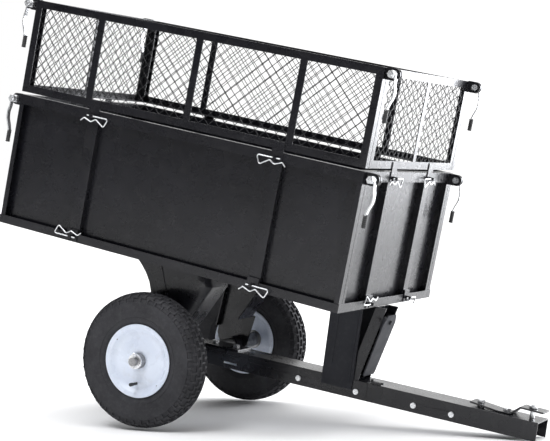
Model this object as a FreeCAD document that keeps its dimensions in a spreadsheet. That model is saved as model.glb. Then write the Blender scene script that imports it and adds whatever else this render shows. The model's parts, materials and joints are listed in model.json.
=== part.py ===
import FreeCAD, Part
import math
import os
import Sketcher

# Tow behind tipping cart, millimetres. +X points forward along the tongue to the
# hitch, +Y to the cart's left, +Z up. The cart stands on its two tyres and on the
# tip of its tongue. Two working frames have their origin at the axle's centre: the
# chassis frame, level with the tongue, and the bed frame, level with the bed.

os.makedirs("parts", exist_ok=True)
doc = FreeCAD.newDocument("TippingCart")

DIMENSIONS = {
    # wheels and axle
    "tyre_dia": 330, "tyre_width": 81, "tyre_wall": 6, "bead_dia": 154.6,
    "rim_dia": 174, "rim_width": 66, "rim_wall": 2.5, "rim_dish": 24,
    "track": 540, "hub_length": 80, "hub_dia": 36, "axle_dia": 20, "axle_overhang": 15,
    "run_fit": 0.06, "valve_length": 26,
    # bed tray
    "bed_length": 938, "bed_width": 566, "bed_rise": 231, "lip_height": 20,
    "sheet": 1.5, "plate": 3, "panel_top": 321, "mesh_top": 553, "mesh_gap": 7,
    "bed_tilt": 2.8, "seat_gap": 0.3, "slip_gap": 0.5,
    # panels and mesh frames
    "panel_depth": 18, "return_width": 12, "top_return": 24, "rib_width": 30,
    "rib_share": 250, "end_rib_share": 115, "angle_leg": 18, "angle_wall": 2,
    "mesh_pitch": 27, "mesh_strand": 2.2, "mesh_border": 3,
    # studs, tabs and spring clips
    "stud_dia": 8, "stud_length": 15, "stud_height": 12, "tab_width": 30,
    "tab_wall": 2, "clip_wire": 3, "clip_reach": 9, "clip_length": 76,
    # corner latches
    "ear_radius": 14, "ear_reach": 20, "ear_wall": 4, "latch_bolt_dia": 10,
    "latch_drop": 15, "strap_width": 12, "strap_wall": 3, "strap_length": 80,
    "grip_dia": 11, "grip_length": 28,
    # legs that carry the bed on the axle
    "leg_spacing": 400, "leg_depth": 98, "leg_back": 125, "leg_front": 80,
    "leg_nose": 96, "leg_nose_height": 193, "leg_waist": 56, "leg_waist_height": 150,
    "leg_heel": 62, "leg_heel_height": 32, "leg_toe": 40, "leg_toe_height": 80,
    "leg_boss": 30,
    # tongue, stand and release post
    "tongue_length": 900, "tongue_width": 80, "tongue_height": 44, "tongue_tail": 45,
    "tongue_seam": 479, "splice_back": 420, "splice_front": 620, "bolt_dia": 10,
    "stand_back": 357, "stand_length": 82, "stand_foot": 2, "stand_rib_foot": 52,
    "post_back": 425, "post_depth": 27, "post_half": 38, "post_top": 204,
    "post_lean": 13.8, "lever_pivot_height": 174, "lever_drop": 141, "lever_head": 16,
    # hitch
    "jaw_gap": 20, "hitch_wall": 4, "hitch_half": 24, "hitch_reach": 171,
    "hitch_pin_dia": 12, "hitch_pin_back": 27,
}

sheet = doc.addObject("Spreadsheet::Sheet", "Dims")
for row, (alias, value) in enumerate(DIMENSIONS.items(), start=1):
    sheet.set(f"A{row}", alias)
    sheet.set(f"B{row}", str(value))
    sheet.setAlias(f"B{row}", alias)
doc.recompute()


class Size:
    """A length as a number, with the sheet expression that gives it."""

    def __init__(self, value, text):
        self.value = float(value)
        self.text = text

    def __add__(self, other):
        other = as_size(other)
        return Size(self.value + other.value, f"({self.text} + {other.text})")

    def __sub__(self, other):
        other = as_size(other)
        return Size(self.value - other.value, f"({self.text} - {other.text})")

    def __mul__(self, other):
        other = as_size(other)
        return Size(self.value * other.value, f"({self.text} * {other.text})")

    def __truediv__(self, other):
        other = as_size(other)
        return Size(self.value / other.value, f"({self.text} / {other.text})")

    def __neg__(self):
        return self * -1

    def __radd__(self, other):
        return as_size(other) + self

    def __rsub__(self, other):
        return as_size(other) - self

    def __rmul__(self, other):
        return as_size(other) * self


def as_size(number):
    if isinstance(number, Size):
        return number
    return Size(number, f"({float(number)!r})")


def dim(alias):
    return Size(sheet.get(alias), f"Dims.{alias}")


def tangent(alias):
    return Size(math.tan(math.radians(sheet.get(alias))), f"tan(Dims.{alias} * 1deg)")


def cosine(alias):
    return Size(math.cos(math.radians(sheet.get(alias))), f"cos(Dims.{alias} * 1deg)")


def bind(obj, **sizes):
    for name, length in sizes.items():
        obj.setExpression(name.replace("_", "."), as_size(length).text)


def place_at(obj, x, y, z, rotation=None):
    if rotation:
        obj.Placement = FreeCAD.Placement(FreeCAD.Vector(), rotation)
    bind(obj, Placement_Base_x=x, Placement_Base_y=y, Placement_Base_z=z)


def ordered(pair):
    low, high = (as_size(end) for end in pair)
    return (low, high) if low.value <= high.value else (high, low)


AXES = {
    "x": FreeCAD.Rotation(FreeCAD.Vector(0, 1, 0), 90),
    "y": FreeCAD.Rotation(FreeCAD.Vector(1, 0, 0), -90),
    "z": FreeCAD.Rotation(),
}


def box(xs, ys, zs):
    """A block between three pairs of planes."""
    (x0, x1), (y0, y1), (z0, z1) = ordered(xs), ordered(ys), ordered(zs)
    block = doc.addObject("Part::Box", "block")
    bind(block, Length=x1 - x0, Width=y1 - y0, Height=z1 - z0)
    place_at(block, x0, y0, z0)
    return block


def along(axis, start, across):
    """A point with its coordinate on one axis and the other two in order."""
    point = list(across)
    point.insert("xyz".index(axis), start)
    return point


def rod(axis, across, span, radius):
    """A round bar along one axis; across holds its other two coordinates in order."""
    low, high = ordered(span)
    bar = doc.addObject("Part::Cylinder", "rod")
    bind(bar, Radius=radius, Height=high - low)
    place_at(bar, *along(axis, low, across), AXES[axis])
    return bar


def hexagon(axis, across, span, radius):
    """A hexagon head or nut along one axis."""
    low, high = ordered(span)
    head = doc.addObject("Part::Prism", "hexagon")
    head.Polygon = 6
    bind(head, Circumradius=radius, Height=high - low)
    place_at(head, *along(axis, low, across), AXES[axis])
    return head


def fuse(*pieces):
    joined = doc.addObject("Part::MultiFuse", "joined")
    joined.Shapes = list(pieces)
    return joined


def cut(base, *tools):
    removed = tools[0] if len(tools) == 1 else fuse(*tools)
    rest = doc.addObject("Part::Cut", "rest")
    rest.Base = base
    rest.Tool = removed
    return rest


def tube(axis, across, span, outer, inner):
    low, high = ordered(span)
    return cut(rod(axis, across, (low, high), outer), rod(axis, across, (low - 1, high + 1), inner))


def group(*pieces):
    together = doc.addObject("Part::Compound", "group")
    together.Links = list(pieces)
    return together


PLANES = {"xy": "XY_Plane", "xz": "XZ_Plane", "yz": "YZ_Plane"}


def new_sketch(body, plane, offset):
    """A sketch in one of the body's own origin planes, moved off it by offset."""
    role = PLANES[plane]
    base = next(item for item in body.Origin.OriginFeatures if item.Role == role)
    sketch = body.newObject("Sketcher::SketchObject", "sketch")
    sketch.AttachmentSupport = (base, [""])
    sketch.MapMode = "FlatFace"
    sketch.setExpression("AttachmentOffset.Base.z", as_size(offset).text)
    return sketch


def pin_point(sketch, geometry, end, point):
    """Dimensions one sketch point from the sketch's origin."""
    for kind, length in zip(("DistanceX", "DistanceY"), point):
        length = as_size(length)
        if abs(length.value) < 1e-9:
            axis = -2 if kind == "DistanceX" else -1
            sketch.addConstraint(Sketcher.Constraint("PointOnObject", geometry, end, axis))
            continue
        index = sketch.addConstraint(
            Sketcher.Constraint(kind, -1, 1, geometry, end, length.value)
        )
        sketch.setExpression(f"Constraints[{index}]", length.text)


def vector(point):
    return FreeCAD.Vector(as_size(point[0]).value, as_size(point[1]).value, 0)


def draw_outline(sketch, outline):
    """A closed outline; a third item in a corner is a point the next edge curves through."""
    ends = []
    for number, corner in enumerate(outline):
        follower = outline[(number + 1) % len(outline)]
        start, finish = vector(corner), vector(follower)
        if len(corner) == 2:
            edge = sketch.addGeometry(Part.LineSegment(start, finish), False)
            ends.append((edge, 1, 2))
            continue
        middle = vector(corner[2])
        forward = (middle - start).cross(finish - middle).z > 0
        arc = Part.Arc(start, middle, finish) if forward else Part.Arc(finish, middle, start)
        edge = sketch.addGeometry(arc, False)
        ends.append((edge, 1, 2) if forward else (edge, 2, 1))
        through = sketch.addGeometry(Part.Point(vector(corner[2])), True)
        pin_point(sketch, through, 1, corner[2])
        sketch.addConstraint(Sketcher.Constraint("PointOnObject", through, 1, edge))
    for number, (edge, first, last) in enumerate(ends):
        other, other_first, _ = ends[(number + 1) % len(ends)]
        sketch.addConstraint(Sketcher.Constraint("Coincident", edge, last, other, other_first))
        pin_point(sketch, edge, first, outline[number][:2])


def draw_circle(sketch, centre, radius):
    circle = Part.Circle(vector(centre), FreeCAD.Vector(0, 0, 1), as_size(radius).value)
    edge = sketch.addGeometry(circle, False)
    pin_point(sketch, edge, 3, centre)
    index = sketch.addConstraint(Sketcher.Constraint("Radius", edge, as_size(radius).value))
    sketch.setExpression(f"Constraints[{index}]", as_size(radius).text)


def new_body():
    return doc.addObject("PartDesign::Body", "body")


def pad(body, plane, outline, span, holes=()):
    """Adds a plate to a body: its outline in a plane and its two faces across it."""
    low, high = ordered(span)
    flipped = plane == "xz"
    sketch = new_sketch(body, plane, -high if flipped else low)
    draw_outline(sketch, outline)
    for centre, radius in holes:
        draw_circle(sketch, centre, radius)
    feature = body.newObject("PartDesign::Pad", "pad")
    feature.Profile = sketch
    bind(feature, Length=high - low)
    return body


def shifted(corner, step):
    """A corner, with the point its edge curves through if it has one, moved sideways."""
    moved = (corner[0] + step, corner[1])
    return moved if len(corner) == 2 else (*moved, shifted(corner[2], step))


def turned(outline, centre):
    """A ring turned about the Y axis from an outline of (distance along Y, radius)."""
    body = new_body()
    sketch = new_sketch(body, "yz", 0)
    draw_outline(sketch, [shifted(corner, centre) for corner in outline])
    feature = body.newObject("PartDesign::Revolution", "turn")
    feature.Profile = sketch
    feature.ReferenceAxis = (sketch, ["H_Axis"])
    feature.Angle = 360
    return body


# ---------------------------------------------------------------- rest attitude

wheel_radius = dim("tyre_dia") / 2
tongue_half_height = dim("tongue_height") / 2
tip_reach = math.hypot(sheet.get("tongue_length"), tongue_half_height.value)
tongue_pitch = math.degrees(
    math.asin(wheel_radius.value / tip_reach)
    - math.atan2(tongue_half_height.value, sheet.get("tongue_length"))
)
AXLE_UP = FreeCAD.Vector(0, 0, wheel_radius.value)
ACROSS = FreeCAD.Vector(0, 1, 0)
CHASSIS = FreeCAD.Placement(AXLE_UP, FreeCAD.Rotation(ACROSS, tongue_pitch))
BED = FreeCAD.Placement(AXLE_UP, FreeCAD.Rotation(ACROSS, tongue_pitch + sheet.get("bed_tilt")))

nodes = {}


def node(label, obj, frame):
    """Names a finished sub-part and notes the frame that it stands in."""
    obj.Label = label
    nodes[label] = (obj, frame)
    return obj


# ------------------------------------------------------------------- wheels

axle_radius = dim("axle_dia") / 2
hub_radius = dim("hub_dia") / 2
running = dim("run_fit")
bead_radius = dim("bead_dia") / 2
rim_radius = dim("rim_dia") / 2
rim_half = dim("rim_width") / 2
tyre_half = dim("tyre_width") / 2
wheel_offset = dim("track") / 2
hub_half = dim("hub_length") / 2


def tyre_section(inset):
    """Half-widths and radii of the tyre's section: bead, bulge, shoulder and tread."""
    bead = rim_half - dim("rim_wall") - 0.2 - inset * 0.6
    bulge = tyre_half - inset
    shoulder = tyre_half - 10 - inset
    tread = wheel_radius - inset
    return bead, bulge, shoulder, tread


def make_tyre(side):
    """A hollow ring open at the beads, which stand between the rim's flanges."""
    collar = rim_radius + 1.5
    middle = (wheel_radius + collar) / 2
    bead, bulge, shoulder, tread = tyre_section(0)
    bead_in, bulge_in, shoulder_in, tread_in = tyre_section(dim("tyre_wall"))
    outline = [
        (-bead, bead_radius),
        (-bead, collar, (-bulge, middle)),
        (-shoulder, tread - 9, (0, tread)),
        (shoulder, tread - 9, (bulge, middle)),
        (bead, collar),
        (bead, bead_radius),
        (bead_in, bead_radius),
        (bead_in, collar, (bulge_in, middle)),
        (shoulder_in, tread_in - 9, (0, tread_in)),
        (-shoulder_in, tread_in - 9, (-bulge_in, middle)),
        (-bead_in, collar),
        (-bead_in, bead_radius),
    ]
    return turned(outline, side * wheel_offset)


def make_rim(side):
    """A pressed rim: two flanges, a barrel and a dished disc towards the outside."""
    wall = dim("rim_wall")
    seat = bead_radius - 0.3
    inside = seat - wall
    edge = rim_half
    disc = side * dim("rim_dish")
    rim_edge = side * edge
    thick = side * wall
    bore = hub_radius + 0.1
    outline = [
        (rim_edge, rim_radius),
        (rim_edge - thick, rim_radius),
        (rim_edge - thick, seat),
        (-rim_edge + thick, seat),
        (-rim_edge + thick, rim_radius),
        (-rim_edge, rim_radius),
        (-rim_edge, inside),
        (disc - thick * 4, inside),
        (disc - thick * 2, inside - 12),
        (disc - thick, bore + 8),
        (disc - thick, bore),
        (disc, bore),
        (disc, bore + 9),
        (disc - thick, inside - 11),
        (disc - thick * 2, inside),
        (rim_edge, inside),
    ]
    return turned(outline, side * wheel_offset)


def make_hub(side):
    bore = axle_radius + running
    flange = hub_radius + 6
    disc = side * (dim("rim_dish") - dim("rim_wall"))
    outline = [
        (-hub_half, bore),
        (hub_half, bore),
        (hub_half, hub_radius),
        (-hub_half, hub_radius),
    ]
    collar = tube(
        "y", (0, 0),
        (side * wheel_offset + disc - side * 3.2, side * wheel_offset + disc - side * 0.2),
        flange, hub_radius - 1,
    )
    return fuse(turned(outline, side * wheel_offset), collar)


def make_valve(side):
    start = side * (wheel_offset + dim("rim_dish") - dim("rim_wall"))
    radius = bead_radius - 22
    stem = rod("y", (0, -radius), (start, start + side * dim("valve_length")), 3.4)
    cap_at = start + side * (dim("valve_length") - 9)
    return fuse(stem, rod("y", (0, -radius), (cap_at, cap_at + side * 10), 4.2))


for name, side in (("left", 1), ("right", -1)):
    node(f"{name}_tyre", make_tyre(side), CHASSIS)
    valve_hole = rod(
        "y", (0, -(bead_radius - 22)), (side * wheel_offset, side * (wheel_offset + 40)), 3.6
    )
    node(f"{name}_rim", cut(make_rim(side), valve_hole), CHASSIS)
    node(f"{name}_hub", make_hub(side), CHASSIS)
    node(f"{name}_valve", make_valve(side), CHASSIS)

hub_end = wheel_offset + hub_half
axle_end = hub_end + dim("axle_overhang")
cotter_at = axle_end - 6
cotter_holes = [rod("z", (0, side * cotter_at), (-20, 20), 1.9) for side in (-1, 1)]
node("axle", cut(rod("y", (0, 0), (-axle_end, axle_end), axle_radius), *cotter_holes), CHASSIS)

leg_face = dim("leg_spacing") / 2
sleeve_length = dim("leg_boss") + 5
tongue_half = dim("tongue_width") / 2
spacers = []
washers = []
cotters = []
for side in (-1, 1):
    inner = (side * (tongue_half + 0.2), side * (leg_face - sleeve_length - 0.5))
    spacers.append(tube("y", (0, 0), inner, axle_radius + 4, axle_radius + running))
    outer = (side * (leg_face + 0.3), side * (wheel_offset - hub_half - 0.3))
    spacers.append(tube("y", (0, 0), outer, axle_radius + 5, axle_radius + running))
    washer = (side * (hub_end + 0.3), side * (hub_end + 3))
    washers.append(tube("y", (0, 0), washer, axle_radius + 8, axle_radius + running))
    stem = rod("z", (0, side * cotter_at), (-16, 15), 1.8)
    eye = fuse(stem, rod("x", (side * cotter_at, 17), (-3, 3), 4))
    cotters.append(eye)
node("axle_spacers", group(*spacers), CHASSIS)
node("axle_washers", group(*washers), CHASSIS)
node("cotter_pins", group(*cotters), CHASSIS)

# ------------------------------------------------------------------- tongue

plate = dim("plate")
top = tongue_half_height
bolt_radius = dim("bolt_dia") / 2
BOLT_LINE = -5
tongue_bolts_at = [299, 452, 600, 695]


def channel(xs, half_width, low, high, wall):
    """An inverted channel along X."""
    return fuse(
        box(xs, (-half_width, half_width), (high - wall, high)),
        box(xs, (-half_width, -half_width + wall), (low, high)),
        box(xs, (half_width - wall, half_width), (low, high)),
    )


def cross_bolt(x, z, half_width):
    """A bolt across a channel: round head on the right, nut on the left."""
    shank = rod("y", (x, z), (-half_width, half_width + 11), bolt_radius - 0.2)
    head = rod("y", (x, z), (-half_width - 3, -half_width), bolt_radius * 1.35)
    crown = rod("y", (x, z), (-half_width - 4, -half_width - 3), bolt_radius)
    nut = hexagon("y", (x, z), (half_width, half_width + 7), bolt_radius * 1.8)
    return fuse(shank, head, crown, nut)


def bolt_holes(xs, z):
    reach = tongue_half + 5
    return [rod("y", (x, z), (-reach, reach), bolt_radius) for x in xs]


pin_x = dim("tongue_length") - dim("hitch_pin_back")
seam = dim("tongue_seam")
rear_channel = channel((-dim("tongue_tail"), seam), tongue_half, -top, top, plate)
rear_holes = bolt_holes(tongue_bolts_at[:2], BOLT_LINE)
axle_hole = rod("y", (0, 0), (-tongue_half - 5, tongue_half + 5), axle_radius + 0.1)
side_slots = [
    box((92, 128), (side * (tongue_half - 5), side * (tongue_half + 5)), (-12, -7))
    for side in (-1, 1)
]
saddle_bolts_at = [42, 101]
saddle_holes = [rod("z", (x, 0), (0, 40), bolt_radius) for x in saddle_bolts_at]
node("tongue_rear", cut(rear_channel, axle_hole, *rear_holes, *side_slots, *saddle_holes), CHASSIS)

front_channel = channel((seam + 0.5, dim("tongue_length")), tongue_half, -top, top, plate)
front_holes = bolt_holes(tongue_bolts_at[2:], BOLT_LINE)
hitch_bolts_at = [dim("tongue_length") - 151, dim("tongue_length") - 88]
HITCH_SPACER = 4
drop_holes = [rod("z", (x, 0), (0, 60), bolt_radius) for x in hitch_bolts_at]
pin_hole = rod("z", (pin_x, 0), (-60, 80), dim("hitch_pin_dia") / 2 + 0.4)
node("tongue_front", cut(front_channel, *front_holes, *drop_holes, pin_hole), CHASSIS)

splice = channel(
    (dim("splice_back"), dim("splice_front")),
    tongue_half - plate - 0.1, -top + 4, top - plate - 0.1, plate,
)
splice_holes = bolt_holes(tongue_bolts_at[1:3], BOLT_LINE)
node("tongue_splice", cut(splice, *splice_holes, *drop_holes), CHASSIS)
node(
    "tongue_bolts",
    group(*[cross_bolt(x, BOLT_LINE, tongue_half) for x in tongue_bolts_at]),
    CHASSIS,
)


def upright_bolt(x, y, head_low, shank_low, radius):
    """A bolt along Z with its head on top and a nut below."""
    shank = rod("z", (x, y), (shank_low, head_low), radius - 0.2)
    head = hexagon("z", (x, y), (head_low, head_low + 6), radius * 1.8)
    return fuse(shank, head)


saddle_plate = box((20, 124), (-tongue_half + 6, tongue_half - 6), (top, top + 4))
saddle_top = [
    rod("z", (x, 0), (0, 40), bolt_radius) for x in saddle_bolts_at
]
node("axle_saddle", cut(saddle_plate, *saddle_top), CHASSIS)
upright_bolts = [upright_bolt(x, 0, top + 4, top - 14, bolt_radius) for x in saddle_bolts_at]

# ------------------------------------------- stand that the bed's front rests on

tilt = tangent("bed_tilt")
stand_back = dim("stand_back")
stand_front = stand_back + dim("stand_length")
STRIP_WALL = 2
bed_under = (dim("bed_rise") - STRIP_WALL) / cosine("bed_tilt") - dim("seat_gap")


def under_bed(x):
    """Height of the seam strip's underside above the axle at a place on the tongue."""
    return bed_under - x * tilt


def make_stand():
    body = new_body()
    wide = tongue_half + plate
    roof = [
        (stand_back, under_bed(stand_back)),
        (stand_front, under_bed(stand_front)),
        (stand_front, under_bed(stand_front) - plate),
        (stand_back, under_bed(stand_back) - plate),
    ]
    pad(body, "xz", roof, (-wide, wide))
    for side in (-1, 1):
        wall = [
            (stand_back, under_bed(stand_back)),
            (stand_back + 3, -dim("stand_foot")),
            (stand_front + 2, -dim("stand_foot")),
            (stand_front, under_bed(stand_front)),
        ]
        pad(body, "xz", wall, (side * tongue_half, side * wide))
        ribs = ((stand_back + 22, 3, dim("stand_rib_foot")), (stand_front - 9, 2.5, top - 10))
        for middle, half_rib, foot in ribs:
            rib = [
                (middle - half_rib, under_bed(stand_front) - 8),
                (middle + half_rib, under_bed(stand_front) - 8),
                (middle + half_rib, foot),
                (middle - half_rib, foot),
            ]
            pad(body, "xz", rib, (side * (wide - 1), side * (wide + 2)))
    return body


node("stand", make_stand(), CHASSIS)

# ------------------------------------------------ release post and its lever

lean = tangent("post_lean")
post_half = dim("post_half")


def post_x(z):
    """Back face of the post at a height."""
    return dim("post_back") + (z - top) * lean


def make_post():
    body = new_body()
    high = dim("post_top")
    wall = plate * 1.03
    back = [
        (post_x(top), top),
        (post_x(top) + wall, top),
        (post_x(high) + wall, high),
        (post_x(high), high),
    ]
    pad(body, "xz", back, (-post_half, post_half))
    depth = dim("post_depth")
    pivot = (lever_pivot_x, dim("lever_pivot_height"))
    for side in (-1, 1):
        cheek = [
            (post_x(top), top),
            (post_x(top) + depth, top),
            (post_x(high) + depth, high),
            (post_x(high), high),
        ]
        hole = [(pivot, bolt_radius)]
        pad(body, "xz", cheek, (side * (post_half - plate), side * post_half), hole)
    return body


lever_pivot_x = post_x(dim("lever_pivot_height")) + dim("post_depth") - 9
node("release_post", make_post(), CHASSIS)
pivot_bolt = cross_bolt(lever_pivot_x, dim("lever_pivot_height"), post_half)
node("lever_pivot", pivot_bolt, CHASSIS)

LEVER = CHASSIS.multiply(
    FreeCAD.Placement(
        FreeCAD.Vector(lever_pivot_x.value, 0, sheet.get("lever_pivot_height")),
        FreeCAD.Rotation(ACROSS, sheet.get("post_lean")),
    )
)


def make_lever():
    """The release lever in its own frame: pivot at the origin, +Z along the post."""
    body = new_body()
    front = 13
    wide = post_half - plate - 1
    drop = dim("lever_drop")
    head = dim("lever_head")
    face = [
        (-wide + 4, -drop),
        (wide - 4, -drop),
        (wide - 1, -drop + 5),
        (post_half - 1, -4),
        (post_half - 13, head),
        (-post_half + 13, head),
        (-post_half + 1, -4),
        (-wide + 1, -drop + 5),
    ]
    pad(body, "yz", face, (front, front + plate))
    stud_outline = [
        (-5, -2, (0, -7)),
        (5, -2, (0, 3)),
    ]
    pad(body, "yz", stud_outline, (front + plate - 0.5, front + plate + 5))
    for side in (-1, 1):
        lug = [
            (-8, -8, (-11.5, 0)),
            (-8, 8),
            (front + 1, 11),
            (front + 1, -22),
        ]
        hole = [((0, 0), bolt_radius - 0.1)]
        pad(body, "xz", lug, (side * (wide - 5), side * (wide - 2)), hole)
    return body


node("release_lever", make_lever(), LEVER)

keeper_x = 486
keeper = fuse(
    box((keeper_x - 2, keeper_x + 26), (-tongue_half + 2, -tongue_half + 5), (top, top + 6)),
    rod("z", (keeper_x, -tongue_half + 8), (top, top + 10), 3),
    rod("x", (-tongue_half + 8, top + 4), (keeper_x, keeper_x + 30), 2.5),
    box((keeper_x - 2, keeper_x + 2), (-tongue_half + 3, -tongue_half + 9), (top, top + 5)),
)
node("lever_keeper", keeper, CHASSIS)

# --------------------------------------------------------------------- hitch


def make_hitch_plate():
    """A strip bent up over the tongue's tip: the upper half of the hitch's jaw."""
    body = new_body()
    back = dim("tongue_length") - dim("hitch_reach")
    thick = dim("hitch_wall")
    base = top + 0.2
    jaw = top + dim("jaw_gap")
    tip = dim("tongue_length") + 4
    strip = [
        (back, base + 7),
        (back + 66, base),
        (back + 98, base),
        (back + 121, jaw),
        (tip, jaw - 1.5),
        (tip, jaw - 1.5 + thick),
        (back + 119, jaw + thick),
        (back + 96, base + thick),
        (back + 67, base + thick),
        (back, base + 7 + thick),
    ]
    return pad(body, "xz", strip, (-dim("hitch_half"), dim("hitch_half")))


node("hitch_plate", cut(make_hitch_plate(), *drop_holes, pin_hole), CHASSIS)
upright_bolts += [
    upright_bolt(hitch_bolts_at[0], 0, top + 10, top - 12, bolt_radius),
    tube("z", (hitch_bolts_at[0], 0), (top, top + HITCH_SPACER), bolt_radius + 4, bolt_radius),
    upright_bolt(hitch_bolts_at[1], 0, top + dim("hitch_wall") + 0.2, top - 12, bolt_radius),
]
node("upright_bolts", group(*upright_bolts), CHASSIS)

pin_radius = dim("hitch_pin_dia") / 2
pin_collar = top + dim("jaw_gap") + dim("hitch_wall") + 0.3
hitch_pin = fuse(
    rod("z", (pin_x, 0), (top - 20, pin_collar), pin_radius),
    rod("z", (pin_x, 0), (pin_collar, pin_collar + 4), pin_radius + 4),
    rod("z", (pin_x, 0), (pin_collar, pin_collar + 13), pin_radius - 1),
    rod("y", (pin_x, pin_collar + 11), (-17, 17), 3.5),
)
node("hitch_pin", hitch_pin, CHASSIS)

# ----------------------------------------------------------------- bed tray

rise = dim("bed_rise")
half_length = dim("bed_length") / 2
half_width = dim("bed_width") / 2
skin = dim("sheet")
floor_top = rise + skin
seam_gap = 0.3
stud_radius = dim("stud_dia") / 2
SIDES = {"left": ("y", 1), "right": ("y", -1)}
ENDS = {"tailgate": ("x", -1), "front": ("x", 1)}


def slab(face, us, vs, zs):
    """A block on one wall of the bed: u runs along the wall, v outwards, z up."""
    axis, sign = face
    outwards = (sign * vs[0], sign * vs[1])
    return box(us, outwards, zs) if axis == "y" else box(outwards, us, zs)


def peg(face, u, z, vs, radius):
    """A round peg that points out of one wall of the bed."""
    axis, sign = face
    return rod(axis, (u, z), (sign * vs[0], sign * vs[1]), radius)


def cross_hole(face, u, z, v, radius):
    """A hole along a wall, for the wire of a spring clip."""
    axis, sign = face
    if axis == "y":
        return rod("x", (sign * v, z), (u - 10, u + 10), radius)
    return rod("y", (sign * v, z), (u - 10, u + 10), radius)


def stud(face, u, z, v):
    """A stud standing out of a wall at v, with a cross hole for its clip."""
    shaft = peg(face, u, z, (v, v + dim("stud_length")), stud_radius)
    hole = cross_hole(face, u, z, v + dim("clip_reach"), dim("clip_wire") / 2 + 0.2)
    return cut(shaft, hole)


def wall_edge(face):
    return half_width if face[0] == "y" else half_length


def shares(face):
    """Where the ribs, feet and studs stand along a wall."""
    spread = dim("rib_share") if face[0] == "y" else dim("end_rib_share")
    return (-spread, spread)


stud_z = rise + dim("stud_height")
leg_bolts_at = [(x, y) for x in (-100, -52, -4, 42) for y in (158, 182)]
strip_bolts_at = [(x, y) for x in (-330, -110, 110, 300) for y in (-20, 20)]


def make_floor(side):
    outer = side * half_width
    inner = side * seam_gap
    wall = side * (half_width - skin)
    lip = (rise, rise + dim("lip_height"))
    pieces = [
        box((-half_length, half_length), (inner, outer), (rise, floor_top)),
        box((-half_length, half_length), (wall, outer), lip),
        box((half_length - skin, half_length), (inner, outer), lip),
        box((-half_length, -half_length + skin), (inner, outer), lip),
    ]
    for u in shares(("y", side)):
        pieces.append(stud(("y", side), u, stud_z, half_width))
    for sign in (-1, 1):
        pieces.append(stud(("x", sign), side * dim("end_rib_share"), stud_z, half_length))
    tray = fuse(*pieces)
    spots = [(x, side * y) for x, y in leg_bolts_at]
    spots += [(x, y) for x, y in strip_bolts_at if y * side > 0]
    holes = [rod("z", spot, (rise - 5, rise + 8), 4.1) for spot in spots]
    return cut(tray, *holes)


for name, (_, side) in SIDES.items():
    node(f"{name}_floor", make_floor(side), BED)

strip = box((-half_length + 25, half_length - 25), (-30, 30), (rise - STRIP_WALL, rise))
strip_holes = [rod("z", spot, (rise - 5, rise + 5), 4.1) for spot in strip_bolts_at]
node("seam_strip", cut(strip, *strip_holes), BED)


def floor_bolt(x, y, grip):
    """A low-headed bolt through the floor, with its nut below the piece it holds."""
    head = rod("z", (x, y), (floor_top, floor_top + 2), 8)
    shank = rod("z", (x, y), (rise - grip - 7, floor_top), 4)
    nut = hexagon("z", (x, y), (rise - grip - 5, rise - grip), 7.5)
    return fuse(head, shank, nut)


floor_bolts = [floor_bolt(x, y, STRIP_WALL) for x, y in strip_bolts_at]
floor_bolts += [floor_bolt(x, side * y, plate) for x, y in leg_bolts_at for side in (-1, 1)]
node("floor_bolts", group(*floor_bolts), BED)

# --------------------------------------------------------------------- legs


def make_leg(side):
    """A pressed leg: flared web, front and back flanges, top flange and axle boss."""
    body = new_body()
    web = (side * (leg_face - plate), side * leg_face)
    inner = side * (leg_face - dim("leg_depth"))
    back_top = (-dim("leg_back"), rise)
    front_top = (dim("leg_front"), rise)
    nose = (dim("leg_nose"), dim("leg_nose_height"))
    waist = (-dim("leg_waist"), dim("leg_waist_height"))
    heel = (-dim("leg_heel"), dim("leg_heel_height"))
    toe = (dim("leg_toe"), dim("leg_toe_height"))
    boss = dim("leg_boss")
    sweep = (-(dim("leg_back") + dim("leg_waist")) / 2 + 12, (rise + dim("leg_waist_height")) / 2)
    outline = [
        (*back_top, sweep),
        waist,
        (*heel, (-boss * 0.6, -boss * 0.8)),
        (boss, 0),
        toe,
        nose,
        front_top,
    ]
    axle_bore = [((0, 0), axle_radius + running)]
    pad(body, "xz", outline, web, axle_bore)
    top_flange = [
        (-dim("leg_back"), rise),
        (-dim("leg_back"), rise - plate),
        (dim("leg_front"), rise - plate),
        (dim("leg_front"), rise),
    ]
    pad(body, "xz", top_flange, (inner, side * leg_face))
    front_flange = [
        front_top,
        (front_top[0] - plate * 1.1, rise),
        (nose[0] - plate * 1.15, nose[1]),
        (toe[0] - plate * 1.15, toe[1]),
        toe,
        nose,
    ]
    pad(body, "xz", front_flange, (inner, side * leg_face))
    back_flange = [
        waist,
        (waist[0] + plate, waist[1]),
        (heel[0] + plate, heel[1]),
        heel,
    ]
    pad(body, "xz", back_flange, (side * (leg_face - 20), side * leg_face))
    crease = [
        (-46, rise - 8),
        (-38, rise - 8),
        (-7, dim("leg_waist_height")),
        (-13, dim("leg_waist_height")),
    ]
    pad(body, "xz", crease, (side * (leg_face - 1), side * (leg_face + 2)))
    return body


for name, (_, side) in SIDES.items():
    sleeve_span = (side * (leg_face - sleeve_length), side * (leg_face - plate))
    sleeve = tube("y", (0, 0), sleeve_span, axle_radius + 8, axle_radius + running)
    leg_holes = [rod("z", (x, side * y), (rise - 9, rise + 5), 4.1) for x, y in leg_bolts_at]
    node(f"{name}_leg", cut(fuse(make_leg(side), sleeve), *leg_holes), BED)

# ------------------------------------------------------- panels round the bed

panel_low = floor_top + dim("seat_gap")
panel_high = rise + dim("panel_top")
depth = dim("panel_depth")
back_off = skin + dim("slip_gap")
latch_low = panel_high - dim("latch_drop")
mesh_low = panel_high + dim("mesh_gap")
mesh_high = rise + dim("mesh_top")
latch_high = mesh_high - dim("latch_drop") + 3
ear_radius = dim("ear_radius")
latch_radius = dim("latch_bolt_dia") / 2
latch_x = half_length - back_off + dim("ear_reach")
side_inner = half_width - back_off - depth
top_stud_z = panel_high - 14


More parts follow.
